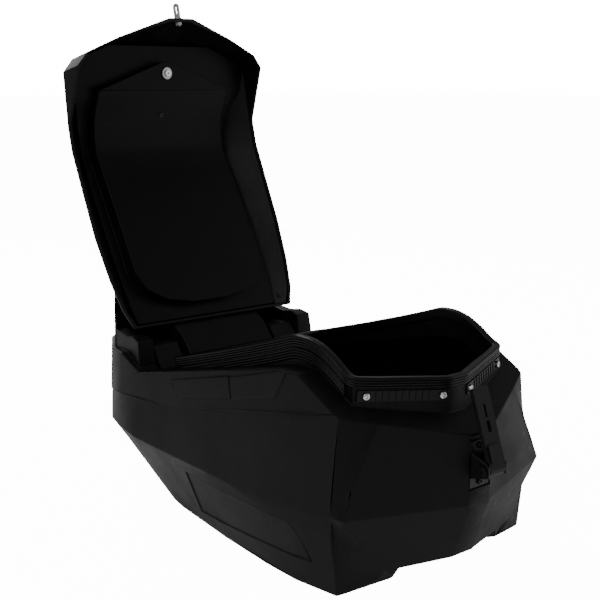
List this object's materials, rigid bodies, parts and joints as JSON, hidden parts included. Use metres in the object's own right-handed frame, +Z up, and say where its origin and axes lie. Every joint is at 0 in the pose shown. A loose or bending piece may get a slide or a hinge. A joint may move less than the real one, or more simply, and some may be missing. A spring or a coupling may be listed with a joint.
{
  "type": "hard saddlebag",
  "caption": "Hard moulded saddlebag with two feet, a raised tail, a hinged lid standing open, a rubber rim seal and a strap latch.",
  "frame": {"origin": "on the ground under the middle of the open case", "axes": "+Z up, +Y from the latch end to the tail with the hinge, +X across the case"},
  "size_m": [0.33, 0.6299, 0.6341],
  "materials": {
    "shell_plastic": "fine grained black moulding",
    "liner_plastic": "smoother black moulding",
    "dark_plastic": "plain dark grey",
    "seal_rubber": "semi-gloss black rubber",
    "strap_rubber": "dull black rubber",
    "bright_steel": "bright stainless",
    "zinc_steel": "zinc plated",
    "cast_metal": "light grey, slightly rough",
    "dark_metal": "black satin paint"
  },
  "bodies": {
    "case": {"tub": "shell_plastic", "rim_seal": "seal_rubber", "front_strip_left": "seal_rubber", "front_strip_right": "seal_rubber", "side_strip_left": "seal_rubber", "side_strip_right": "seal_rubber", "strip_screws": "bright_steel", "strip_nuts": "zinc_steel", "floor_plate": "zinc_steel", "hinge_pin": "zinc_steel", "hinge_bush_left": "dark_plastic", "hinge_bush_right": "dark_plastic", "pin_clip_left": "zinc_steel", "pin_clip_right": "zinc_steel", "lid_bumpers": "seal_rubber", "latch_bracket": "dark_metal", "latch_bolt": "dark_metal", "latch_nut": "dark_metal", "bracket_screws": "dark_metal"},
    "lid": {"lid_shell": "shell_plastic", "lid_liner": "liner_plastic", "lid_plug": "seal_rubber", "liner_washer": "bright_steel", "liner_screw": "bright_steel", "padlock_eye": "cast_metal", "eye_nut": "zinc_steel"},
    "latch": {"latch_strap": "strap_rubber", "latch_sleeve": "dark_plastic"}
  },
  "joints": [
    {"name": "lid_hinge", "type": "hinge", "parent": "case", "child": "lid", "pos_m": [0, 0.15, 0.184], "axis": [1, 0, 0], "range_deg": [0, 102.9], "deforming": ["latch_strap"]},
    {"name": "latch_swing", "type": "hinge", "parent": "case", "child": "latch", "pos_m": [0, -0.304, 0.126], "axis": [1, 0, 0], "range_deg": [0, 110]}
  ]
}
